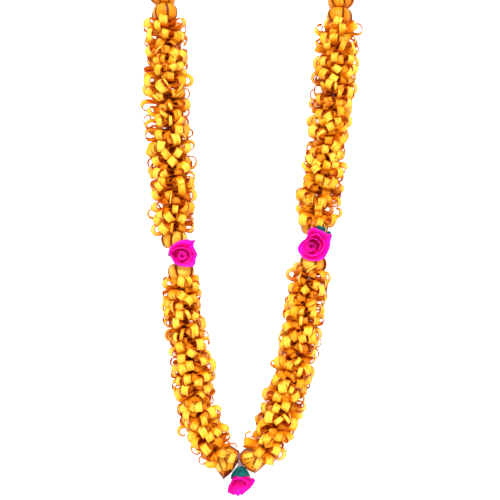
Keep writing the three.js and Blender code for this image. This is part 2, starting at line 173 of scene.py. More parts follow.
def thin_sheets(grid, thickness):
    """Turns each sheet of a grid [sheets, rows, columns, 3] into a closed thin solid: its points moved
    half the thickness to either side along the sheet's normal, and a wall round its edge. Returns the
    vertices and the faces."""
    down_rows = np.gradient(grid, axis=1)
    over_columns = np.gradient(grid, axis=2)
    normal = np.cross(down_rows, over_columns)
    normal /= np.maximum(np.linalg.norm(normal, axis=-1, keepdims=True), TINY)
    both = np.stack([grid + normal * thickness / 2, grid - normal * thickness / 2], axis=1)
    index = np.arange(both[..., 0].size).reshape(both.shape[:-1])
    front, back = index[:, 0], index[:, 1]
    quads = [
        (front[:, :-1, :-1], front[:, 1:, :-1], front[:, 1:, 1:], front[:, :-1, 1:]),
        (back[:, :-1, 1:], back[:, 1:, 1:], back[:, 1:, :-1], back[:, :-1, :-1]),
        (front[:, :-1, 0], back[:, :-1, 0], back[:, 1:, 0], front[:, 1:, 0]),
        (front[:, 1:, -1], back[:, 1:, -1], back[:, :-1, -1], front[:, :-1, -1]),
        (front[:, 0, 1:], back[:, 0, 1:], back[:, 0, :-1], front[:, 0, :-1]),
        (front[:, -1, :-1], back[:, -1, :-1], back[:, -1, 1:], front[:, -1, 1:]),
    ]
    faces = np.concatenate([np.stack([c.ravel() for c in corners], axis=1) for corners in quads])
    return both.reshape(-1, 3), faces


def both_sides(front, back=None):
    """A value for each grid point on the front face of its sheet and one on the back face, the same if no
    other is given, in the order of the vertices."""
    back = front if back is None else back
    return np.stack([front, back], axis=1).reshape((-1,) + front.shape[3:])


def joined(parts):
    """The vertices, the faces and the values of several closed parts as one set of each. Faces are moved on
    by the number of vertices before their part."""
    vertices, faces, values = zip(*parts)
    offsets = np.cumsum([0] + [len(points) for points in vertices[:-1]])
    faces = [quads + offset for quads, offset in zip(faces, offsets)]
    return np.concatenate(vertices), np.concatenate(faces), np.concatenate(values)


def make_piece(name, vertices, faces, material, replaced, crease, attributes, uv=None):
    """A mesh object at the origin from vertices in millimetres and faces of four corners, with a value of
    each attribute and a place in the material's grain for each vertex."""
    mesh = bpy.data.meshes.new(name)
    mesh.vertices.add(len(vertices))
    mesh.vertices.foreach_set("co", (vertices * MM).astype(np.float32).ravel())
    mesh.loops.add(faces.size)
    mesh.loops.foreach_set("vertex_index", faces.astype(np.int32).ravel())
    mesh.polygons.add(len(faces))
    mesh.polygons.foreach_set("loop_start", np.arange(0, faces.size, 4, dtype=np.int32))
    if uv is not None:
        layer = mesh.uv_layers.new(name="strip_mm")
        layer.data.foreach_set("uv", uv[faces.ravel()].astype(np.float32).ravel())
    for key, values in attributes.items():
        layer = mesh.attributes.new(key, "FLOAT", "POINT")
        layer.data.foreach_set("value", values.astype(np.float32).ravel())
    mesh.update(calc_edges=True)
    mesh.polygons.foreach_set("use_smooth", np.ones(len(faces), bool))
    mesh.set_sharp_from_angle(angle=np.radians(crease))
    mesh.validate()
    mesh.materials.append(material)
    piece = bpy.data.objects.new(name, mesh)
    bpy.context.scene.collection.objects.link(piece)
    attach(piece, "root")
    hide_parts(*replaced)


# ---- Materials ------------------------------------------------------------------------------------

# Sockets whose names repeat go by number: the share and the two colours that a Mix blends and the colour
# that it gives, the two terms of a sum, and the two shaders of a Mix Shader.
SHARE, COLOUR_A, COLOUR_B, BLEND = 0, 6, 7, 2
TERM_A, TERM_B = 0, 1
SHADER_A, SHADER_B = 1, 2


def colour(hex_value):
    """An sRGB hex value as the linear colour that shaders take."""
    channels = np.array([(hex_value >> shift) & 255 for shift in (16, 8, 0)]) / 255
    linear = np.where(channels <= 0.04045, channels / 12.92, ((channels + 0.055) / 1.055) ** 2.4)
    return (*linear.tolist(), 1.0)


def add_node(tree, kind, inputs=None, **settings):
    """Adds one node. Settings are its properties, and inputs are values or other nodes' outputs."""
    made = tree.nodes.new(kind)
    for key, value in settings.items():
        setattr(made, key, value)
    for key, value in (inputs or {}).items():
        if isinstance(value, bpy.types.NodeSocket):
            tree.links.new(value, made.inputs[key])
        else:
            made.inputs[key].default_value = value
    return made


def new_material(name):
    """A material with an empty node tree."""
    material = bpy.data.materials.new(name)
    material.use_nodes = True
    material.node_tree.nodes.clear()
    return material, material.node_tree


def laid_over(tree, base, coats):
    """Lays coats of colour over a base. Each has a value, the two ends of its range, the share of the coat
    at each end, which goes evenly from one to the other between them, and its colour."""
    for value, (low, high), (at_low, at_high), coat in coats:
        share = add_node(tree, "ShaderNodeMapRange", {
            "Value": value, "From Min": low, "From Max": high, "To Min": at_low, "To Max": at_high})
        blend = add_node(tree, "ShaderNodeMix", {
            SHARE: share.outputs["Result"], COLOUR_A: base, COLOUR_B: coat}, data_type="RGBA")
        base = blend.outputs[BLEND]
    return base


GRAIN_WIDTH = 1.4         # mm between streaks of a planed shaving, drawn coarser than real so that it shows
GRAIN_LENGTH = 16.0       # mm that a streak keeps its tone
CUT_DEPTHS = (0.75, 1.2)  # depths between which a shaving is painted in its root colour: painted shade along its cut edges
SHAVING_LIT_SHARE = 0.3   # of a shaving's light that has come through it


def sandalwood_shaving(name, pale, mid, deep, root, glow):
    """Sandalwood planed to a curl and dyed: satin, streaked along the strip, and thin enough for some light
    to come through, with painted shade deeper on its inner face, deepest along its cut edges and at the
    pinched root."""
    material, tree = new_material(name)
    strip = add_node(tree, "ShaderNodeUVMap", uv_map="strip_mm")
    tone = add_node(tree, "ShaderNodeAttribute", attribute_name="tone")
    reach = add_node(tree, "ShaderNodeAttribute", attribute_name="reach")
    depth = add_node(tree, "ShaderNodeAttribute", attribute_name="depth")
    stretched = add_node(tree, "ShaderNodeMapping", {
        "Vector": strip.outputs["UV"], "Scale": (1 / GRAIN_LENGTH, 1 / GRAIN_WIDTH, 1.0)})
    grain = add_node(tree, "ShaderNodeTexNoise", {
        "Vector": stretched.outputs["Vector"], "Scale": 1.0, "Detail": 3.0, "Roughness": 0.6})
    streaks = add_node(tree, "ShaderNodeMapRange", {
        "Value": grain.outputs["Fac"], "From Min": 0.3, "From Max": 0.7, "To Min": -0.4, "To Max": 0.4})
    paleness = add_node(tree, "ShaderNodeMath", {
        TERM_A: tone.outputs["Fac"], TERM_B: streaks.outputs["Result"]}, operation="ADD", use_clamp=True)
    face = add_node(tree, "ShaderNodeValToRGB", {"Fac": paleness.outputs["Value"]})
    ramp = face.color_ramp.elements
    ramp[0].color, ramp[1].color = colour(deep), colour(pale)
    ramp.new(0.45).color = colour(mid)
    # Painted shade: the face's colour deepens on the inner face and turns to the root colour along the cut
    # edges.
    outer = laid_over(tree, face.outputs["Color"], (
        (depth.outputs["Fac"], (0.0, 1.0), (0.0, 1.0), colour(deep)),
        (depth.outputs["Fac"], CUT_DEPTHS, (0.0, 1.0), colour(root)),
    ))
    # Painted shade: the root colour near the thread, where a strip's reach is small, going to deep and then
    # to the face's colours further out.
    whole = laid_over(tree, colour(root), (
        (reach.outputs["Fac"], (0.1, 0.4), (0.0, 1.0), colour(deep)),
        (reach.outputs["Fac"], (0.4, 0.9), (0.0, 1.0), outer),
    ))
    # The light that comes through is painted dark along the cut edges too, as painted shade.
    glowing = laid_over(tree, colour(glow), ((depth.outputs["Fac"], CUT_DEPTHS, (0.0, 1.0), colour(root)),))
    bump = add_node(tree, "ShaderNodeBump", {
        "Height": grain.outputs["Fac"], "Strength": 0.25, "Distance": 0.2 * MM})
    surface = add_node(tree, "ShaderNodeBsdfPrincipled", {
        "Base Color": whole, "Roughness": 0.42, "IOR": 1.45, "Specular IOR Level": 0.18,
        "Normal": bump.outputs["Normal"]})
    lit_through = add_node(tree, "ShaderNodeBsdfTranslucent", {"Color": glowing})
    shader = add_node(tree, "ShaderNodeMixShader", {
        "Fac": SHAVING_LIT_SHARE, SHADER_A: surface.outputs["BSDF"], SHADER_B: lit_through.outputs["BSDF"]})
    add_node(tree, "ShaderNodeOutputMaterial", {"Surface": shader.outputs["Shader"]})
    return material


DYE_CLOUD = 7.0   # mm across the patches where the dye took more or less
RIB_PITCH = 4.4   # mm between ribs of the fine cloth, drawn far coarser than real so that they show
WAVE_TURNS = 20   # radians that a Wave texture turns in one unit of its scaled place


def dyed_cloth(name, face, shade, deep, rim, sheen_tint, sheen, lit_share):
    """Stiffened cloth, cut and rolled: fine ribs, uneven dye, painted shade towards the foot of each sheet,
    a painted highlight along its turned rim, a soft bright edge of light, and a glow where light comes
    through."""
    material, tree = new_material(name)
    place = add_node(tree, "ShaderNodeTexCoord")
    to_rim = add_node(tree, "ShaderNodeAttribute", attribute_name="to_rim")
    cloudy = add_node(tree, "ShaderNodeTexNoise", {
        "Vector": place.outputs["Object"], "Scale": 1 / (DYE_CLOUD * MM), "Detail": 2.0})
    # Uneven dye, then painted shade towards the foot of each sheet and a painted highlight along the turned
    # rims.
    whole = laid_over(tree, colour(shade), (
        (cloudy.outputs["Fac"], (0.35, 0.65), (0.0, 1.0), colour(face)),
        (to_rim.outputs["Fac"], (0.2, 0.7), (0.7, 0.0), colour(deep)),
        # painted highlight along the turned rim
        (to_rim.outputs["Fac"], (0.86, 1.0), (0.0, 0.55), colour(rim)),
    ))
    ribs = add_node(tree, "ShaderNodeTexWave", {
        "Vector": place.outputs["Object"], "Scale": 2 * np.pi / (WAVE_TURNS * RIB_PITCH * MM),
        "Distortion": 1.0, "Detail": 1.0})
    bump = add_node(tree, "ShaderNodeBump", {
        "Height": ribs.outputs["Fac"], "Strength": 0.1, "Distance": 0.1 * MM})
    surface = add_node(tree, "ShaderNodeBsdfPrincipled", {
        "Base Color": whole, "Roughness": 0.6, "Specular IOR Level": 0.2,
        "Sheen Weight": sheen, "Sheen Roughness": 0.4, "Sheen Tint": colour(sheen_tint),
        "Normal": bump.outputs["Normal"]})
    lit_through = add_node(tree, "ShaderNodeBsdfTranslucent", {"Color": colour(face)})
    shader = add_node(tree, "ShaderNodeMixShader", {
        "Fac": lit_share, SHADER_A: surface.outputs["BSDF"], SHADER_B: lit_through.outputs["BSDF"]})
    add_node(tree, "ShaderNodeOutputMaterial", {"Surface": shader.outputs["Shader"]})
    return material


def cotton_thread(name, pale, deep):
    """Two-ply cotton: matt, painted darker in the groove between the plies, as painted shade."""
    material, tree = new_material(name)
    groove = add_node(tree, "ShaderNodeAttribute", attribute_name="tone")
    # Painted shade: deep in the groove between the plies, and where the tone is lowered at the knot and the
    # binding.
    whole = laid_over(tree, colour(deep), ((groove.outputs["Fac"], (0.0, 1.0), (0.0, 1.0), colour(pale)),))
    surface = add_node(tree, "ShaderNodeBsdfPrincipled", {
        "Base Color": whole, "Roughness": 0.85, "Sheen Weight": 0.3})
    add_node(tree, "ShaderNodeOutputMaterial", {"Surface": surface.outputs["BSDF"]})
    return material


# In the shavings, root and deep are also the colours of painted shade.
LOOP_WOOD = sandalwood_shaving(
    "sandalwood_loops", pale=0xFFE652, mid=0xF0AE12, deep=0xE8860A, root=0xB03E08, glow=0xFA9A0A)
PUFF_WOOD = sandalwood_shaving(
    "sandalwood_puffs", pale=0xFFDA52, mid=0xF4AA1E, deep=0xDC7E0E, root=0x681C04, glow=0xF4940C)
# In the cloths, deep is the colour of painted shade towards the foot of each sheet, and rim that of a
# painted highlight along the rims.
ROSE_CLOTH = dyed_cloth(
    "magenta_satin", face=0xFA08D8, shade=0xF00498, deep=0xE80450, rim=0xFF38F0, sheen_tint=0xFF40FF,
    sheen=0.3, lit_share=0.5)
CALYX_CLOTH = dyed_cloth(
    "teal_crepe", face=0x0A7C7C, shade=0x055450, deep=0x0A7C7C, rim=0x2090A0, sheen_tint=0x60C0C0,
    sheen=0.1, lit_share=0.35)
THREAD_COTTON = cotton_thread("mauve_cotton", pale=0xDCBCBC, deep=0x6A1420)

# ---- Looped shavings ------------------------------------------------------------------------------

STRIP_WIDTH = 8.4
STRIP_THICKNESS = 0.8     # thicker than a real shaving, so that its cut edges show
STRIP_ROOT_WIDTH = 5.0
STRIP_EDGE = 0.8          # how far across from the middle the flat of a strip goes
STRIP_CUP = 0.6           # mm that a strip's edges stand above its middle
WIDTH_SPREAD = 0.1
LOOP_ROWS = 11
LOOP_HEIGHT = 6.6
HEIGHT_SPREAD = 0.25
HEIGHT_POWER = 0.6        # a loop's height goes with its reach to this power
REACH_SPREAD = 0.17
REACH_POWER = 0.8         # power of sin(pi s) that a strip reaches out by
DEEPEST_REACH = 1.12      # of the long loops' reach: under the thread, this comes down to the surface
SWING = 0.62              # of a loop's height, that its strip swings to either side
CREST_CROWDING = 1.25     # power that draws the rows of a strip towards its crest
FULL_WIDTH_SWELL = 1.35   # times sin(pi s): a strip's share of its full width, until it is whole
ROOT_RADIUS = 1.8
ROOT_HALF_HEIGHT = 1.3    # mm along the thread, from the middle of the root to either end of a strip
WHORL_PITCH = 7.4
WHORL_SPREAD = 1.1        # mm along the thread
TURN_SPREAD = 0.3         # of a loop's share of the round
# pale is the loops' tone: the inner loops are painted darker, as painted shade where they lie under the
# outer ones.
OUTER_LOOPS = {"count": 7, "reach": 20.4, "shift": 0.9, "pale": 0.5}    # shift draws whorls into pairs,
INNER_LOOPS = {"count": 5, "reach": 13.0, "shift": -0.8, "pale": 0.25}  # and these fill the room between

# The outer strips that have sprung open into a hook: their share, where along the strip they end, and
# their width and reach as a share of a whole loop's.
OPEN_SHARE = 0.3
HOOK_END = 0.74
HOOK_END_SPREAD = 0.08    # of the strip
HOOK_WIDTH = 0.5
HOOK_WIDTH_SPREAD = 0.35  # of a whole loop's width
HOOK_REACH = 1.1

# Angles, in radians.
TWIST_SPREAD = 0.9        # of a loop about the way that it leans
LEAN_SPREAD = 0.35        # of a loop along the thread
END_LEAN = 0.22           # that the last loops of a length lean out over the puff beside them
END_LEAN_SPREAD = 0.1
CONE_SPREAD = 0.22        # of a strip out of its own band
CONE_LEVELLING = 0.3      # that a strip whose width stands upright is turned to face up
CURL_SPREAD = 0.35        # further turn of a strip, one way at its start and the other way at its end

# Tones and depths that the shavings' material reads. Both carry painted shade, and the tone also a painted
# highlight at the crests.
LOOP_TONE_SPREAD = 0.17   # of the whole scale of tones, as a normal draw
CREST_PAINTED_LIGHT = 2.4          # paler per share of reach past CREST_SHARE, darker short of it: painted highlight, painted shade
CREST_SHARE = 0.88
INNER_FACE_PAINTED_SHADE = 0.7         # painted shade on a strip's inner face
CUT_EDGE_PAINTED_SHADE = 1.3          # painted shade along its cut edges, a dark outline

# Millimetres of grain along a strip, and the steps along and across from one strip's grain to the next
# one's, so that no two are streaked alike.
LOOP_GRAIN = 60
LOOP_GRAIN_STEPS = (100, 7.3)


def whorl_draws(start, end, kind, rng):
    """Where each loop of a kind starts on the thread, the angle that it has round it, and which end of the
    length it is at: -1, 1 or 0 for neither. Whorls are spaced evenly and then moved by the shift, one
    forward and the next one back, and each is turned by half a loop's share from the last."""
    whorls = round((end - start) / WHORL_PITCH) + 1
    whorl, place = np.divmod(np.arange(whorls * kind["count"]), kind["count"])
    odd = whorl % 2
    moved, turned = rng.uniform(-1, 1, (2, len(whorl)))
    at_end = 1 * (whorl == whorls - 1) - 1 * (whorl == 0)
    arcs = start + (end - start) * whorl / (whorls - 1)
    arcs = arcs + (at_end == 0) * (kind["shift"] * (1 - 2 * odd) + WHORL_SPREAD * moved)
    angle = 2 * np.pi * (place + 0.5 * odd + TURN_SPREAD * turned) / kind["count"]
    return arcs, angle, at_end


def loop_axes(arcs, angle, lean, twist):
    """The axes of loops: the way that one leans, out from the thread and along it, the way across its
    strip, and forward, square to both. The twist turns the last two about the first."""
    along, side, up = axes_at(arcs)
    out = np.cos(angle)[:, None] * side + np.sin(angle)[:, None] * up
    leaning = np.cos(lean)[:, None] * out + np.sin(lean)[:, None] * along
    level = unit(np.cross(leaning, along))
    ahead = np.cross(level, leaning)
    across = np.cos(twist)[:, None] * level + np.sin(twist)[:, None] * ahead
    forward = np.cos(twist)[:, None] * ahead - np.sin(twist)[:, None] * level
    return leaning, across, forward


def press_to_surface(grid, foot):
    """Loops under the thread are pressed together in height, by the share that lets the longest of them
    come down to the surface."""
    pressed = (foot[:, 2] - 2 * GROUND)[:, None, None] / (OUTER_LOOPS["reach"] * DEEPEST_REACH)
    below = np.minimum(0, grid[..., 2] - foot[:, None, None, 2])
    grid[..., 2] = np.maximum(grid[..., 2] + below * (pressed - 1), GROUND)


def loop_grid(arcs, angle, reach, stop, at_end, rng):
    """Strips folded in half with both ends pinched at the thread. Seen from its side, with s from 0 to 1
    along it, a strip reaches out by a power of sin(pi s) and swings along the thread by
    sin(2 pi s) times the root of sin(pi s): a drop with a round end. Rows lie closer near the crest.
    The strip is turned a little out of its own band, so that most loops are cones, narrower at the top,
    and it is cupped by the fourth power of u, the way across.
    Returns the grid, each point's place in the grain, and each row's reach and added tone, which paints a
    highlight on the crest and shade towards the thread."""
    count = len(arcs)
    taller, wider, twisted, leant, coned, curled = rng.uniform(-1, 1, (6, count))
    height = LOOP_HEIGHT * (1 + HEIGHT_SPREAD * taller) * (reach / OUTER_LOOPS["reach"]) ** HEIGHT_POWER
    hook_width = HOOK_WIDTH + HOOK_WIDTH_SPREAD * wider
    width = STRIP_WIDTH * np.where(stop < 1, hook_width, 1 + WIDTH_SPREAD * wider)
    twist = TWIST_SPREAD * twisted * np.abs(twisted)
    lean = np.where(at_end == 0, LEAN_SPREAD, END_LEAN_SPREAD) * leant + END_LEAN * at_end
    foot = point_at(arcs)
    leaning, across, forward = loop_axes(arcs, angle, lean, twist)

    even = np.linspace(-1, 1, LOOP_ROWS)[None, :]
    s = (0.5 + 0.5 * np.sign(even) * np.abs(even) ** CREST_CROWDING) * stop[:, None]
    swell = np.sin(np.pi * s)
    x = ROOT_RADIUS + (reach[:, None] - ROOT_RADIUS) * swell**REACH_POWER
    swung = SWING * height[:, None] * np.sin(2 * np.pi * s) * np.sqrt(swell)
    y = swung + ROOT_HALF_HEIGHT * np.cos(np.pi * s)
    widened = np.minimum(1, FULL_WIDTH_SWELL * swell)
    half_width = 0.5 * (STRIP_ROOT_WIDTH + (width[:, None] - STRIP_ROOT_WIDTH) * widened)
    middle = foot[:, None] + x[..., None] * leaning[:, None] + y[..., None] * forward[:, None]
    tangent = unit(np.gradient(middle, axis=1))
    outward = np.cross(across[:, None], tangent)
    cone = CONE_SPREAD * coned - CONE_LEVELLING * across[:, 2]
    curl = (cone[:, None] + CURL_SPREAD * curled[:, None] * np.sin(np.pi * (s - 0.5)))[..., None]
    width_way = np.cos(curl) * across[:, None] + np.sin(curl) * outward
    u = np.array([-1.0, -STRIP_EDGE, STRIP_EDGE, 1.0])
    cupped = STRIP_CUP * (u**4)[None, None, :, None] * outward[:, :, None]
    grid = middle[:, :, None] + (u * half_width[..., None])[..., None] * width_way[:, :, None] + cupped
    press_to_surface(grid, foot)

    number = np.arange(count)[:, None, None]
    grain_along = LOOP_GRAIN * s[:, :, None] + LOOP_GRAIN_STEPS[0] * number
    grain_across = u * half_width[..., None] + LOOP_GRAIN_STEPS[1] * number
    grain = np.stack(np.broadcast_arrays(grain_along, grain_across), axis=-1)
    # Painted light: strips are painted paler past CREST_SHARE of their reach, a painted highlight on the
    # crest, and darker short of it, painted shade towards the thread.
    crest = CREST_PAINTED_LIGHT * (x / reach[:, None] - CREST_SHARE)
    # The reach that the material reads paints shade near the thread, where it is small.
    return grid, grain, x / OUTER_LOOPS["reach"], crest


def loops(name, length, rng):
    """All the loops of one length of shavings: long ones, and short ones between them near the thread."""
    first_puff, last_puff = length["between"]
    start = PUFFS[first_puff][1] + length["rooms"][0]
    end = PUFFS[last_puff][0] - length["rooms"][1]
    parts = []
    for kind in (OUTER_LOOPS, INNER_LOOPS):
        arcs, angle, at_end = whorl_draws(start, end, kind, rng)
        ended, longer = rng.uniform(-1, 1, (2, len(arcs)))
        opened = (rng.uniform(size=len(arcs)) < OPEN_SHARE) & (kind is OUTER_LOOPS)
        stop = np.where(opened, HOOK_END + HOOK_END_SPREAD * ended, 1.0)
        reach = length["full"] * kind["reach"] * (1 + REACH_SPREAD * longer)
        reach = reach * np.where(opened, HOOK_REACH, 1)
        pale = np.full((len(arcs), 1), kind["pale"])
        parts.append((*loop_grid(arcs, angle, reach, stop, at_end, rng), pale))
    grid, grain, reach, crest, pale = (np.concatenate(values) for values in zip(*parts))

    vertices, faces = thin_sheets(grid, STRIP_THICKNESS)
    shape = grid.shape[:3]
    # Each loop's tone: its kind's, darker for the inner loops as painted shade, a random draw, and the
    # painted light of the crest.
    tones = pale + LOOP_TONE_SPREAD * rng.standard_normal((len(grid), 1)) + crest
    edge = np.broadcast_to(np.array([1.0, 0.0, 0.0, 1.0]), shape)
    attributes = {
        "tone": both_sides(np.broadcast_to(tones[:, :, None], shape)),
        "reach": both_sides(np.broadcast_to(reach[:, :, None], shape)),
        # painted shade: deeper on the inner face, darkest along the cut edges
        "depth": both_sides(INNER_FACE_PAINTED_SHADE + (CUT_EDGE_PAINTED_SHADE - INNER_FACE_PAINTED_SHADE) * edge, CUT_EDGE_PAINTED_SHADE * edge),
    }
    make_piece(f"{name}_loops", vertices, faces, LOOP_WOOD, [name], SHAVING_CREASE,
               attributes, both_sides(grain))


# ---- Puffs ----------------------------------------------------------------------------------------

PUFF_STRIPS = 6
PUFF_STRIP_THICKNESS = 0.3
PUFF_ROWS = 17
PUFF_COLUMNS = 7
POLE_SHARE = 0.008         # of a strip's length, left open at each pole for the thread
PUFF_SWELL = 0.42          # power of sin(pi s) that a strip stands off the axis by
PUFF_OVERLAP = 1.45        # a strip's width over its share of the round
PUFF_LAP = 1.2             # mm from a strip's middle out to its lapping edge, and in to its tucked one
PUFF_WIDTH_SPREAD = 0.12
PUFF_RADIUS_SPREAD = 0.06
PUFF_PLACE_SPREAD = 0.12   # of a strip's share of the round
PUFF_SKEW_SPREAD = 0.18    # radians, one way at one pole and the other way at the other
FIRST_STRIP_SPREAD = 0.5   # radians from the top of the puff
NECK_PALENESS = 0.35
ROSE_PUFF_PALENESS = 0.65  # puffs beside a rose are the paler ones
PUFF_TONE_SPREAD = 0.25    # of the whole scale of tones, as a normal draw
PUFF_EDGE_PAINTED_SHADE = 1.6      # painted shade towards a strip's edges; past 1.2 it is as dark as at its root
POLE_REACH = 0.15          # how far strips come out of the shade at the poles, and what their swell adds
BELLY_REACH = 0.8
ROUND_EDGE = 3             # powers of u that strips are painted darker towards their edges by, as painted shade: the round puffs' strips show broad dark gaps between them, and the pressed ones' show fine lines
PRESSED_EDGE = 8           # show broad dark gaps between them, and the pressed ones' show fine lines
PUFF_GRAIN = (30, 9)       # mm of grain along a strip and across half of it, and steps to the next one's
PUFF_GRAIN_STEPS = (50, 31)


def puff(name, rng):
    """Wide strips bent from pole to pole of a puff, which bends with the thread. With s from 0 to 1 between
    the poles, a strip stands off the axis by a power of sin(pi s) and lies along it by -cos(pi s). Each is
    wider than its share of the round, and its far edge laps over the next one."""
    start, end = (point_at(arc) for arc in PUFFS[name])
    axis = unit(end - start)
    side = unit(np.cross(VERTICAL, axis))
    up = np.cross(axis, side)
    half_length = np.linalg.norm(end - start) / 2
    centre = (start + end) / 2
    bend = point_at(np.mean(PUFFS[name])) - centre
    first = np.pi / 2 + rng.uniform(-FIRST_STRIP_SPREAD, FIRST_STRIP_SPREAD)
    number = np.arange(PUFF_STRIPS)[:, None, None]
    wider, moved, skewed, prouder = rng.uniform(-1, 1, (4, PUFF_STRIPS, 1, 1))
    s = np.linspace(POLE_SHARE, 1 - POLE_SHARE, PUFF_ROWS)[None, :, None]
    u = np.linspace(-1, 1, PUFF_COLUMNS)[None, None, :]
    turn = first + 2 * np.pi * (number + PUFF_PLACE_SPREAD * moved) / PUFF_STRIPS
    turn = turn + PUFF_SKEW_SPREAD * skewed * np.cos(np.pi * s)
    spread = PUFF_OVERLAP * np.pi / PUFF_STRIPS * (1 + PUFF_WIDTH_SPREAD * wider)
    turn = turn + u * spread
    swell = np.sin(np.pi * s) ** PUFF_SWELL
    radius = PUFF_RADIUS * (1 + PUFF_RADIUS_SPREAD * prouder) - PUFF_LAP / 2 + PUFF_LAP * u
    lie = -half_length * np.cos(np.pi * s)
    grid = centre + np.sin(np.pi * s)[..., None] * bend + (
        (radius * swell * np.cos(turn))[..., None] * side
        + (radius * swell * np.sin(turn))[..., None] * up
        + lie[..., None] * axis
    )
    paleness = NECK_PALENESS if "neck" in name else ROSE_PUFF_PALENESS
    tones = np.clip(paleness + PUFF_TONE_SPREAD * rng.standard_normal(PUFF_STRIPS), 0, 1)
    finish_puff(name, grid, s, u, POLE_REACH + BELLY_REACH * swell, tones, ROUND_EDGE)


def finish_puff(name, grid, s, u, reach, tones, edge_power):
    """Makes strips of a grid, each with its own tone and place in the grain, with s along it and u across.
    None goes below the ground, and they are painted darker towards their edges by a power of u, as painted
    shade."""
    grid[..., 2] = np.maximum(grid[..., 2], GROUND)
    vertices, faces = thin_sheets(grid, PUFF_STRIP_THICKNESS)
    shape = grid.shape[:3]
    number = np.arange(shape[0])[:, None, None]
    grain_along, grain_across = (
        size * place + step * number for size, place, step in zip(PUFF_GRAIN, (s, u), PUFF_GRAIN_STEPS))
    grain = np.stack(np.broadcast_arrays(grain_along, grain_across), axis=-1)
    attributes = {
        "tone": both_sides(np.broadcast_to(tones[:, None, None], shape)),
        "reach": both_sides(np.broadcast_to(reach, shape)),
        # painted shade towards each strip's edges
        "depth": both_sides(np.broadcast_to(PUFF_EDGE_PAINTED_SHADE * np.abs(u) ** edge_power, shape)),
    }
    make_piece(f"{name}_strips", vertices, faces, PUFF_WOOD, [name], SHAVING_CREASE,
               attributes, both_sides(grain))


# The two puffs at the foot are pressed flat against the knot: the pole beside the loops has come round to
# the top, and the strips are creased along the sides of a polygon, the rim. head is where the pole is and
# heads are its heights above and below, rim_height is the height of the crease and bow how far each side
# of it bows out, and pale is how pale the strip is that ends on the side after each corner. Bands lie over
# the strips: each has its start, its end, its width, how far it stands off and how pale it is.
PRESSED_PUFFS = {
    "puff_foot_left": {
        "head": (-29.0, -257.5), "heads": (21.0, 4.0), "rim_height": 12.0, "bow": 0.5,
        "rim": ((-41.8, -262.0), (-34.5, -272.6), (-28.4, -280.8), (-20.4, -273.6), (-14.2, -263.5),
                (-13.2, -253.0), (-24.0, -246.0), (-38.0, -252.0)),
        "pale": (0.5, 0.0, 0.0, 0.15, 0.6, 0.6, 0.5, 0.5),
        "bands": (((-32.5, -253.5), (-25.5, -272.0), 6.0, 1.2, 0.6),
                  ((-20.5, -261.0), (-23.0, -273.0), 7.0, 1.0, 0.4),
                  ((-37.0, -261.5), (-31.5, -273.0), 6.0, 1.6, 1.1),
                  ((-38.5, -254.0), (-36.5, -265.0), 6.5, 2.8, 1.0),
                  ((-17.2, -253.2), (-22.5, -264.5), 7.8, 3.0, 1.2))},
    "puff_foot_right": {
        "head": (8.5, -254.5), "heads": (24.5, 3.0), "rim_height": 13.0, "bow": 1.6,
        "rim": ((12.2, -267.0), (2.8, -274.0), (-8.0, -267.0), (-12.0, -257.6), (-6.5, -250.8),
                (5.0, -251.2), (12.2, -257.0)),
        "pale": (1.0, 0.4, 0.5, 0.8, 0.4, 0.3, 0.3),
        "bands": (((1.5, -252.5), (-5.0, -267.0), 9.0, 1.0, 0.45),
                  ((-10.4, -257.4), (2.0, -253.8), 5.5, 2.2, 1.2),
                  ((10.6, -254.0), (3.0, -270.8), 8.4, 2.4, 1.3))},
}
PRESSED_LAP = 0.6          # mm that one edge of a strip stands above its middle, over its neighbour
PRESSED_OVERLAP = 1.2      # width of a strip as a share of its side of the polygon
PRESSED_WIDENING = 0.8     # power of s that a strip widens by from the pole
PRESSED_START = 0.02       # share of a strip that is left off at the pole
PRESSED_HEIGHT_SPREAD = 0.04
PRESSED_TONE_SPREAD = 0.1  # of the whole scale of tones, as a normal draw
DOME_LEVEL = 2.5           # powers that keep the dome level round the pole and make it steep at the rim
DOME_STEEP = 0.6
PRESSED_REACH = 0.9        # the most that a pressed strip comes out of the shade
SHADED_ENDS = 3            # how fast a strip comes out of it from either end, for its whole length
DARK_LIT = 0.35            # how far the darkest strips come out of it, and what their tone adds to it
LIT_BY_TONE = 1.6
BAND_END_REACH = 0.25
BAND_TUCK = 0.5            # mm that a band's two ends go down into the strips
BAND_LAP = 0.3             # of PRESSED_LAP, that one edge of a band stands over its middle


def dome(s):
    """Height of a pressed puff over its rim, as a share of its whole height, at a share s of the way from
    the pole to the rim: what a high power of s leaves of 1, to a power under 1, so that it is level round
    the pole and steep at the rim."""
    return (1 - np.clip(s, 0, 1) ** DOME_LEVEL) ** DOME_STEEP


def share_out(flat, spec):
    """How far places are from the pole towards the polygon, as a share: the largest, over its sides, of the
    distance gone square to the side over the side's own distance."""
    corners = np.array(spec["rim"])
    side = np.roll(corners, -1, axis=0) - corners
    square = np.stack([side[:, 1], -side[:, 0]], axis=-1)
    square = square / np.sum((corners - spec["head"]) * square, axis=-1, keepdims=True)
    return np.max((flat - spec["head"]) @ square.T, axis=-1)


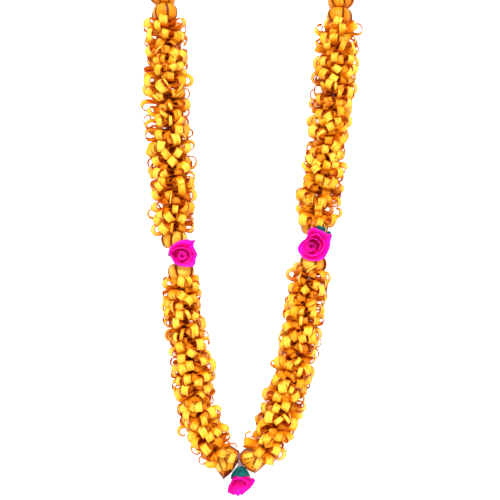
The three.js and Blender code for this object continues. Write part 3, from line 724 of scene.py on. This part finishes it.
def pressed_strips(spec, s, u, rng):
    """Strips from the pole to each side of the polygon, above and below: as wide as a power of s, where s
    goes from 0 at the pole to 1 at the crease, and as high as the dome. The crease bows out by 1 - u
    squared, and one edge laps over the next strip by u times the root of s."""
    corners = np.array(spec["rim"])[:, None, None]
    side = np.roll(corners, -1, axis=0) - corners
    middle = corners + side / 2
    bowed = middle + spec["bow"] * (1 - u[..., None] ** 2) * unit(middle - spec["head"])
    flat = spec["head"] + (bowed - spec["head"]) * s[..., None]
    flat = flat + 0.5 * PRESSED_OVERLAP * u[..., None] * side * (s**PRESSED_WIDENING)[..., None]
    layers = []
    for head, away in zip(spec["heads"], (1, -1)):
        taller = rng.uniform(-1, 1, (len(corners), 1, 1))
        rise = (head - spec["rim_height"]) * dome(s) * (1 + PRESSED_HEIGHT_SPREAD * taller)
        height = spec["rim_height"] + rise + away * PRESSED_LAP * u * np.sqrt(s)
        layers.append(np.concatenate([flat, height[..., None]], axis=-1))
    return np.concatenate(layers)


def pressed_bands(spec, s, u, lifted):
    """Loose bands over the upper strips, straight from their starts to their ends as seen from above. They
    follow the dome and stand off it where they are lifted, and their two ends are tucked in."""
    start, end, width, stand, _ = (np.array(values) for values in zip(*spec["bands"]))
    run = (end - start)[:, None, None]
    across = unit(np.stack([run[..., 1], -run[..., 0]], axis=-1))
    sideways = 0.5 * width[:, None, None, None] * across * u[..., None]
    flat = start[:, None, None] + run * s[..., None] + sideways
    height = spec["rim_height"] + (spec["heads"][0] - spec["rim_height"]) * dome(share_out(flat, spec))
    height = height + (stand[:, None, None] + BAND_TUCK) * lifted - BAND_TUCK + BAND_LAP * PRESSED_LAP * u
    return np.concatenate([flat, height[..., None]], axis=-1)


def pressed_puff(name, rng):
    """The strips and bands of a puff that is pressed flat. Strips are in the shade at both ends, more so
    the darker they are, and bands only where they are tucked in: they are lifted by the root of
    sin(pi s)."""
    spec = PRESSED_PUFFS[name]
    s = np.linspace(PRESSED_START, 1, PUFF_ROWS)[None, :, None]
    u = np.linspace(-1, 1, PUFF_COLUMNS)[None, None, :]
    lifted = np.sqrt(np.clip(np.sin(np.pi * s), 0, 1))
    strips = pressed_strips(spec, s, u, rng)
    bands = pressed_bands(spec, s, u, lifted)
    tones = np.array(spec["pale"] * 2) + PRESSED_TONE_SPREAD * rng.standard_normal(len(strips))
    lit = np.clip(DARK_LIT + LIT_BY_TONE * tones, 0, 1)[:, None, None]
    strip_reach = np.minimum(PRESSED_REACH, SHADED_ENDS * np.minimum(s, 1 - s)) * lit
    strip_reach = np.broadcast_to(strip_reach, strips.shape[:3])
    band_reach = np.broadcast_to(BAND_END_REACH + (1 - BAND_END_REACH) * lifted, bands.shape[:3])
    reach = np.concatenate([strip_reach, band_reach])
    tones = np.concatenate([tones, [pale for *_, pale in spec["bands"]]])
    finish_puff(name, np.concatenate([strips, bands]), s, u, reach, tones, PRESSED_EDGE)


# ---- Roses ----------------------------------------------------------------------------------------
# Each petal is given by the line of its rim, in the rose's own axes: x level with the frame's X, y across
# it and z the way that the rose faces, from the middle of its foot. foot_radius is where it is sewn on,
# swell is how far it bellies out, and opened how far it has opened out flat. Sepals have the angle that
# they stand at round the calyx, in degrees, and their length.

ROSES = {
    "rose_left": {
        "foot": (-69.8, -54.5, 27.0), "facing": (0.10, -0.12, 0.98), "stem": 9.2, "stem_radius": 1.3,
        "calyx_radius": 7.5, "calyx_flare": 6.0,
        "sepals": ((178, 7.6), (350, 9), (95, 6), (240, 3), (310, 3)),
        "bud": {"at": (-0.3, -0.3), "radius": 4.0, "top": 15.2, "turn": 0.4},
        "petals": (
            {"foot_radius": 4.5, "swell": 0.8, "opened": 2.6, "rim": (
                (-13.0, 3.2, 9.5), (-10.6, 8.0, 9.5), (-6.5, 11.4, 9.2), (-1.5, 13.8, 9.0),
                (4.6, 15.2, 9.2), (9.0, 14.0, 9.4), (12.9, 14.4, 8.6), (11.0, 9.6, 9.8),
                (13.0, 4.4, 10.0), (14.8, 1.2, 10.2))},
            {"foot_radius": 6.0, "swell": 1.8, "opened": 1.4, "rim": (
                (-12.4, 2.8, 12.0), (-7.6, 5.6, 13.4), (-2.0, 7.0, 14.0), (3.5, 6.4, 14.0),
                (8.6, 4.0, 13.4), (14.6, 1.2, 12.0))},
            {"foot_radius": 5.0, "swell": 0.8, "opened": 2.6, "rim": (
                (9.5, 4.6, 12.4), (14.4, 1.4, 12.0), (12.9, -2.4, 11.6), (12.7, -7.0, 11.0),
                (10.4, -10.6, 10.0), (4.0, -11.0, 10.4))},
            {"foot_radius": 4.5, "swell": 0.4, "opened": 3.2, "rim": (
                (11.4, -7.8, 11.2), (5.6, -10.6, 11.0), (-0.5, -10.2, 10.8), (-6.4, -7.8, 11.2),
                (-9.2, -3.8, 11.6))},
            {"foot_radius": 5.5, "swell": 1.4, "opened": 1.6, "rim": (
                (-2.6, -9.0, 11.4), (-6.6, -7.2, 12.0), (-9.5, -2.4, 12.6), (-12.6, 2.6, 12.2),
                (-10.4, 4.4, 12.8))},
            {"foot_radius": 4.5, "swell": 0.8, "opened": 1.8, "rim": (
                (0.6, 5.4, 11.6), (5.6, 4.6, 12.4), (8.6, 0.4, 12.2), (7.4, -4.8, 11.6),
                (1.8, -6.6, 11.6))},
        )},
    "rose_right": {
        "foot": (62.2, -44.5, 27.4), "facing": (-0.22, -0.16, 0.95), "stem": 9.4, "stem_radius": 1.3,
        "calyx_radius": 9.0, "calyx_flare": 6.0,
        "sepals": ((73, 12.8), (59, 13.4), (38, 14), (235, 4), (150, 2)),
        "bud": {"at": (-1.2, -1.0), "radius": 4.8, "top": 16.4, "turn": 2.6},
        "petals": (
            {"foot_radius": 5.5, "swell": 1.2, "opened": 2.6, "rim": (
                (-6.8, 6.0, 8.6), (-11.6, 2.4, 8.6), (-14.8, -3.4, 8.4), (-12.4, -9.6, 8.0),
                (-6.6, -13.8, 8.0), (1.4, -15.2, 8.0), (8.4, -13.6, 8.0), (13.4, -9.4, 8.4))},
            {"foot_radius": 5.5, "swell": 1.2, "opened": 2.6, "rim": (
                (10.4, -11.6, 8.4), (14.2, -7.0, 8.8), (16.4, -0.6, 9.0), (17.2, 5.4, 9.0),
                (18.2, 10.8, 8.2), (13.6, 11.6, 8.8))},
            {"foot_radius": 5.5, "swell": 1.0, "opened": 2.2, "rim": (
                (16.4, 9.4, 8.6), (12.4, 12.6, 8.8), (6.6, 15.0, 8.8), (-1.0, 17.2, 8.2),
                (-4.6, 13.4, 8.8), (-5.4, 9.4, 9.2), (-7.0, 5.0, 9.2))},
            {"foot_radius": 5.0, "swell": 1.6, "opened": 1.6, "rim": (
                (-3.4, 6.8, 11.6), (0.4, 10.8, 11.8), (4.6, 12.0, 11.8), (8.2, 9.2, 12.2),
                (11.6, 4.8, 12.2), (11.6, -0.8, 12.0), (8.4, -5.8, 11.8))},
            {"foot_radius": 5.0, "swell": 1.2, "opened": 2.0, "rim": (
                (10.0, -3.0, 11.8), (5.6, -8.0, 11.8), (-0.2, -9.6, 11.8), (-6.0, -8.0, 12.0),
                (-8.8, -3.6, 12.2), (-8.0, 1.6, 12.4), (-3.6, 5.8, 12.2))},
            {"foot_radius": 4.5, "swell": 1.0, "opened": 2.0, "rim": (
                (-5.6, 3.6, 12.8), (-1.0, 6.8, 13.2), (4.6, 6.4, 13.6), (8.0, 1.6, 13.4),
                (6.0, -4.0, 12.8))},
        )},
    "rose_foot": {
        "foot": (-11.3, -278.5, 9.0), "facing": (-0.03, -0.87, 0.49), "stem": 8.5, "stem_radius": 4.2,
        "calyx_radius": 9.6, "calyx_flare": 1.0,
        "sepals": ((20, 2), (90, 2.5), (160, 2), (232, 2), (305, 2)),
        "bud": {"at": (-0.4, -1.0), "radius": 3.6, "top": 8.0, "turn": 1.4},
        "petals": (
            {"foot_radius": 5.5, "swell": 1.2, "opened": 1.8, "rim": (
                (-11.6, -3.0, 17.0), (-9.6, -8.6, 15.6), (-6.4, -10.6, 16.6), (-4.6, -10.8, 15.6),
                (-2.2, -11.2, 17.2), (0.4, -11.2, 15.4), (2.0, -11.0, 16.0), (6.2, -10.2, 12.0),
                (10.2, -7.6, 9.6))},
            {"foot_radius": 5.5, "swell": 1.2, "opened": 1.6, "rim": (
                (7.6, -9.4, 10.4), (11.2, -3.4, 9.2), (13.6, 1.8, 7.2), (14.4, 4.8, 5.6),
                (11.8, 7.8, 4.6), (7.4, 9.6, 6.0))},
            {"foot_radius": 5.5, "swell": 1.2, "opened": 1.4, "rim": (
                (-10.6, 0.6, 11.0), (-9.0, 5.6, 9.0), (-6.5, 8.2, 7.5), (-2.0, 10.2, 7.0),
                (2.6, 10.2, 7.4), (7.0, 7.6, 8.4), (9.8, 3.0, 9.2))},
            {"foot_radius": 5.5, "swell": 1.4, "opened": 1.6, "rim": (
                (-7.6, 6.4, 9.2), (-10.8, 2.4, 10.4), (-11.8, -1.2, 14.0), (-12.0, -4.0, 16.4),
                (-8.8, -8.6, 15.4))},
            {"foot_radius": 3.8, "swell": 0.6, "opened": 1.6, "rim": (
                (-0.6, -7.4, 12.6), (4.4, -5.6, 11.4), (7.2, -1.0, 9.8), (6.2, 4.4, 8.0), (0.6, 6.6, 7.0))},
        )},
}
CLOTH_THICKNESS = 0.35
CLOTH_GROUND = 0.2   # mm above the surface, of the lowest points of cloth
PETAL_ROWS = 11
PETAL_STEPS = 6      # along the rim, between two of its points
PETAL_BELLY = 0.8    # power of v that brings a petal's swell nearer its foot
RIM_ROLL = 0.7       # mm that a petal's rim turns out
ROLL_START = 0.8     # how far up a petal the roll of its rim starts
BUD_ROWS = 9
BUD_COLUMNS = 49
BUD_TURNS = 2.3
BUD_CORE = 0.9       # radius of the innermost turn
BUD_TAPER = 0.22     # share that the bud is narrower at its foot
BUD_LIP = 1.1        # mm that its rim turns out
BUD_LIP_POWER = 5    # power of the height that it turns out by
BUD_FOOT = 3.0       # mm above the rose's foot
BUD_DROP = 2.4       # mm from its innermost rim down to its outermost one
HEART_ROWS = 4
HEART_COLUMNS = 25
HEART_HOLE = 0.5
HEART_FOOT = 0.8     # mm above the rose's foot
HEART_SLOPE = 0.25
HEART_MARGIN = 2.0   # mm that the heart goes out past the feet of the first petals
CALYX_THICKNESS = 0.5
CALYX_ROWS = 17
CALYX_COLUMNS = 49
CALYX_RISE = 2.2     # from the rose's foot to the brim of its calyx
SEPAL_ROWS = 9
SEPAL_COLUMNS = 7
SEPAL_TIP = 0.97     # how far along its length a sepal is cut off, so that it ends in no point
SEPAL_TAPER = 0.4    # power of the length that is left, which a sepal's width goes by
SEPAL_ROOT = 1.2     # mm in from the brim
SEPAL_DIP = 0.8      # mm below the brim
SEPAL_RISE = 3.0
SEPAL_CUP = 0.5      # mm that a sepal's edges stand above its middle


def in_rose(rose, local):
    """Turns places in a rose's own axes to places in the frame."""
    facing = unit(np.array(rose["facing"]))
    level = unit(np.array([1.0, 0.0, 0.0]) - facing[0] * facing)
    axes = np.stack([level, np.cross(facing, level), facing])
    return np.array(rose["foot"]) + local @ axes


def petal(shape):
    """A sheet between the rim and an arc on the foot. With v from 0 to 1 between them, it moves out evenly,
    and further by the swell times sin(pi v to a power) and by the roll times the square of the way past
    where that starts. It rises by 1 - (1 - v) to a power: the higher the power, the more the petal has
    opened out flat."""
    rim = smooth_line(shape["rim"], PETAL_STEPS)
    outward = unit(rim * [1.0, 1.0, 0.0])
    start = outward * shape["foot_radius"]
    v = np.linspace(0, 1, PETAL_ROWS)[:, None, None]
    roll = np.clip((v - ROLL_START) / (1 - ROLL_START), 0, 1) ** 2
    out = shape["swell"] * np.sin(np.pi * v**PETAL_BELLY) + RIM_ROLL * roll
    rise = 1 - (1 - v) ** shape["opened"]
    flat = start + (rim * [1.0, 1.0, 0.0] - start) * v
    return (flat + out * outward + rise * rim * [0.0, 0.0, 1.0])[None], v[None, ..., 0]


def rolled_bud(shape):
    """A strip rolled on itself: its radius grows evenly with the turn and with the height, and its rim
    turns out by a high power of the height. It stands highest inside."""
    turns = np.linspace(0, BUD_TURNS * 2 * np.pi, BUD_COLUMNS)[None, :]
    v = np.linspace(0, 1, BUD_ROWS)[:, None]
    share = turns / turns.max()
    radius = (BUD_CORE + (shape["radius"] - BUD_CORE) * share) * (1 - BUD_TAPER + BUD_TAPER * v)
    radius = radius + BUD_LIP * v**BUD_LIP_POWER
    angle = turns + shape["turn"]
    x = shape["at"][0] + radius * np.cos(angle)
    y = shape["at"][1] + radius * np.sin(angle)
    z = BUD_FOOT + (shape["top"] - BUD_FOOT - BUD_DROP * share) * v
    return np.stack([x, y, z], axis=-1)[None], v[None]


def rose_heart(radius):
    """A shallow cone of cloth that closes the rose between its bud and the feet of its petals."""
    angle = np.linspace(0, 2 * np.pi, HEART_COLUMNS)[None, :]
    out = np.linspace(HEART_HOLE, radius, HEART_ROWS)[:, None]
    cone = np.broadcast_arrays(out * np.cos(angle), out * np.sin(angle), HEART_FOOT + HEART_SLOPE * out)
    return np.stack(cone, axis=-1)[None], np.zeros((1, HEART_ROWS, HEART_COLUMNS))


def cloth_piece(name, node, sheets, thickness, material):
    """A rose's petals or its calyx as one piece: closed sheets of grids in the rose's own axes, each with
    the values of its points, kept above the surface and joined."""
    parts = []
    for grid, value in sheets:
        vertices, faces = thin_sheets(in_rose(ROSES[name], grid), thickness)
        vertices[:, 2] = np.maximum(vertices[:, 2], CLOTH_GROUND)
        parts.append((vertices, faces, both_sides(np.broadcast_to(value, grid.shape[:3]))))
    vertices, faces, to_rim = joined(parts)
    make_piece(f"{name}_cloth_{node}", vertices, faces, material, [f"{name}_{node}"],
               CLOTH_CREASE, {"to_rim": to_rim})


def rose(name):
    """The petals of a rose, the bud inside them and the heart under it."""
    spec = ROSES[name]
    sheets = [petal(shape) for shape in spec["petals"]] + [rolled_bud(spec["bud"])]
    sheets.append(rose_heart(spec["petals"][0]["foot_radius"] + HEART_MARGIN))
    cloth_piece(name, "petals", sheets, CLOTH_THICKNESS, ROSE_CLOTH)


def trumpet(spec):
    """A calyx's cup and stem: with v from 0 to 1 from the stem's end to the brim, its radius grows by the
    sine of v quarter turns, to a power that keeps the stem thin."""
    v = np.linspace(0, 1, CALYX_ROWS)[:, None]
    angle = np.linspace(0, 2 * np.pi, CALYX_COLUMNS)[None, :]
    swell = np.sin(np.pi / 2 * v) ** spec["calyx_flare"]
    radius = spec["stem_radius"] + (spec["calyx_radius"] - spec["stem_radius"]) * swell
    height = -spec["stem"] + (spec["stem"] + CALYX_RISE) * v
    tube = np.broadcast_arrays(radius * np.cos(angle), radius * np.sin(angle), height)
    return np.stack(tube, axis=-1)[None], v[None]


def sepal(spec, degrees, length):
    """A pointed leaf on the brim of a calyx: at a share w of its length, it is as wide as 1 - w to a power,
    and it rises evenly."""
    w = np.linspace(0, SEPAL_TIP, SEPAL_ROWS)[:, None]
    across = np.linspace(-1, 1, SEPAL_COLUMNS)[None, :]
    half_width = 0.5 * (1 - w) ** SEPAL_TAPER * spec["calyx_radius"]
    far = spec["calyx_radius"] - SEPAL_ROOT + length * w
    middle = np.radians(degrees)
    x = far * np.cos(middle) - half_width * across * np.sin(middle)
    y = far * np.sin(middle) + half_width * across * np.cos(middle)
    z = CALYX_RISE - SEPAL_DIP + SEPAL_RISE * w + SEPAL_CUP * across**2
    return np.stack([x, y, z], axis=-1)[None], 0.5 + 0.5 * w[None]


def calyx(name):
    """The green cup of a rose with its stem and its sepals."""
    spec = ROSES[name]
    sheets = [trumpet(spec)] + [sepal(spec, degrees, length) for degrees, length in spec["sepals"]]
    cloth_piece(name, "calyx", sheets, CALYX_THICKNESS, CALYX_CLOTH)


# ---- Thread ---------------------------------------------------------------------------------------

THREAD_RADIUS = 0.8
THREAD_SIDES = 10
THREAD_STEP = 1.2      # mm between the sections of the long run
PLY_PITCH = 5.0        # mm in which the two plies go once round
PLY_GROOVE = 0.28      # share of the radius that the groove between the plies is deep
STEPS_A_TURN = 24      # sections in each turn of the knot and the binding, and in the tail
TAIL_BEND = 3.0        # mm of the tail that lie in line with the lowest rose
BINDING_TURNS = 9      # of the same thread round the tail
BINDING_RADIUS = 2.1
KNOT_TURNS = 6
KNOT_RADIUS = 2.2
KNOT_POLE = 0.2        # radians from the top and the bottom of the knot, where its wraps start and end
KNOT_STRETCH = 1.3     # the knot's length along Y over its width
KNOT_TONE = 0.15       # the knot sits in the shade, and so does the top of the binding
BINDING_TONE = 0.35
NEARLY_UP = (0.03, 0.05, 1.0)  # a little off the vertical, so that no run of thread lies along it


def twisted_rod(path):
    """A closed rod along a path whose section is two lobes, turning evenly with the distance gone: its
    radius falls by the groove's share where the cosine of the angle from the lobes is 0. Returns its
    vertices, its faces of four corners and how far out of the groove each vertex is."""
    gone = arcs_along(path)
    along = unit(np.gradient(path, axis=0))
    side = unit(np.cross(along, NEARLY_UP))
    up = np.cross(side, along)
    angle = np.linspace(0, 2 * np.pi, THREAD_SIDES, endpoint=False)[None, :]
    lobes = np.abs(np.cos(angle - 2 * np.pi * gone[:, None] / PLY_PITCH))
    radius = THREAD_RADIUS * (1 - PLY_GROOVE + PLY_GROOVE * lobes)
    rings = path[:, None] + (radius * np.cos(angle))[..., None] * side[:, None]
    rings = rings + (radius * np.sin(angle))[..., None] * up[:, None]
    index = np.arange(rings[..., 0].size).reshape(rings.shape[:2])
    next_index = np.roll(index, -1, axis=1)
    walls = np.stack([index[:-1], index[1:], next_index[1:], next_index[:-1]], axis=-1).reshape(-1, 4)
    here = np.arange(THREAD_SIDES // 2 - 1)
    across_ring = np.stack([here, here + 1, -here - 2, -here - 1], axis=1)
    faces = np.concatenate([walls, index[0][across_ring], index[-1][across_ring[:, ::-1]]])
    return rings.reshape(-1, 3), faces, lobes.ravel()


def thread():
    """The thread through everything, the knot at the foot and the tail to the lowest rose, with the same
    thread bound round it. The tail is a parabola from the knot to the rose's stem, whose bend lies in line
    with the stem. The knot's wraps go evenly round and down a ball, and the binding's round the tail."""
    knot = (RUN[0] + RUN[-1]) / 2
    spec = ROSES["rose_foot"]
    facing = unit(np.array(spec["facing"]))
    tail_end = np.array(spec["foot"]) - facing * (spec["stem"] + SEAT_GAP)
    bend = tail_end - facing * TAIL_BEND
    t = np.linspace(0, 1, STEPS_A_TURN)[:, None]
    tail = (1 - t) ** 2 * knot + 2 * t * (1 - t) * bend + t**2 * tail_end
    down = np.linspace(KNOT_POLE, np.pi - KNOT_POLE, STEPS_A_TURN * KNOT_TURNS)
    wraps = np.linspace(0, 2 * np.pi * KNOT_TURNS, STEPS_A_TURN * KNOT_TURNS)
    ball = np.stack([
        np.sin(down) * np.cos(wraps), KNOT_STRETCH * np.sin(down) * np.sin(wraps), np.cos(down)], axis=-1)
    turns = np.linspace(0, 2 * np.pi * BINDING_TURNS, STEPS_A_TURN * BINDING_TURNS)
    core = knot + (tail_end - knot) * (turns / turns[-1])[:, None]
    binding = core + BINDING_RADIUS * np.stack([np.cos(turns), 0 * turns, np.sin(turns)], axis=-1)
    main = point_at(np.arange(0, RUN_ARCS[-1], THREAD_STEP))

    rods = [twisted_rod(path) for path in (main, tail, knot + KNOT_RADIUS * ball, binding)]
    shades = (1, 1, KNOT_TONE, np.linspace(BINDING_TONE, 1, len(rods[-1][2])))
    vertices, faces, tones = joined([
        (vertices, faces, lobes * shade) for (vertices, faces, lobes), shade in zip(rods, shades)])
    make_piece("twisted_thread", vertices, faces, THREAD_COTTON, ["garland_thread"],
               THREAD_CREASE, {"tone": tones})


rng = np.random.default_rng(SEED)
for length_name, length in LENGTHS.items():
    loops(length_name, length, rng)
for puff_name in PUFFS:
    if puff_name in PRESSED_PUFFS:
        pressed_puff(puff_name, rng)
    else:
        puff(puff_name, rng)
for rose_name in ROSES:
    rose(rose_name)
    calyx(rose_name)
thread()

# ---- Floor, light and camera ----------------------------------------------------------------------

LENS = 85.0
SENSOR = 36.0
VIEW_WIDTH = 0.500                        # metres across the frame at the height of the arms
VIEW_CENTRE = (-0.0018, -0.0505, 0.020)
FLOOR_HALF = 15.0                         # metres from the middle of the floor to its edge
FLOOR_CORNERS = ((-1, -1), (1, -1), (1, 1), (-1, 1))
SURROUND = {"Color": colour(0xFFF0DC), "Strength": 0.56}
SUNS = {  # strength, tilt from straight above towards the neck, and width in the sky, in degrees
    "key": (4.1, 36, 18),
    "fill": (1.7, -30, 40),
}


def floor():
    """A flat white sheet under everything, lit a little from within, so that it is as white as paper and
    shadows on it stay faint."""
    mesh = bpy.data.meshes.new("floor")
    mesh.from_pydata([(x * FLOOR_HALF, y * FLOOR_HALF, 0) for x, y in FLOOR_CORNERS], [], [(0, 1, 2, 3)])
    material, tree = new_material("matt_white_paper")
    surface = add_node(tree, "ShaderNodeBsdfPrincipled", {
        "Base Color": colour(0xF6F6F6), "Roughness": 0.9, "Emission Color": colour(0xFFFFFF),
        "Emission Strength": 0.8})
    add_node(tree, "ShaderNodeOutputMaterial", {"Surface": surface.outputs["BSDF"]})
    mesh.materials.append(material)
    piece = bpy.data.objects.new("floor", mesh)
    bpy.context.scene.collection.objects.link(piece)


def lights():
    """A broad key from the neck's side, a weak fill from the foot's side, and an even warm surround."""
    world = bpy.data.worlds.new("studio")
    bpy.context.scene.world = world
    world.use_nodes = True
    for key, value in SURROUND.items():
        world.node_tree.nodes["Background"].inputs[key].default_value = value
    for name, (strength, tilt, width) in SUNS.items():
        sun = bpy.data.lights.new(name, "SUN")
        sun.energy = strength
        sun.angle = np.radians(width)
        holder = bpy.data.objects.new(name, sun)
        holder.rotation_euler = (np.radians(-tilt), 0.0, 0.0)
        bpy.context.scene.collection.objects.link(holder)


def camera():
    """Straight above the view's centre, as high as the lens needs to take in the view's width."""
    data = bpy.data.cameras.new("camera")
    data.lens = LENS
    data.sensor_width = SENSOR
    holder = bpy.data.objects.new("camera", data)
    x, y, z = VIEW_CENTRE
    holder.location = (x, y, z + VIEW_WIDTH * LENS / SENSOR)
    bpy.context.scene.collection.objects.link(holder)
    bpy.context.scene.camera = holder


floor()
lights()
camera()
bpy.context.scene.view_settings.view_transform = "Standard"
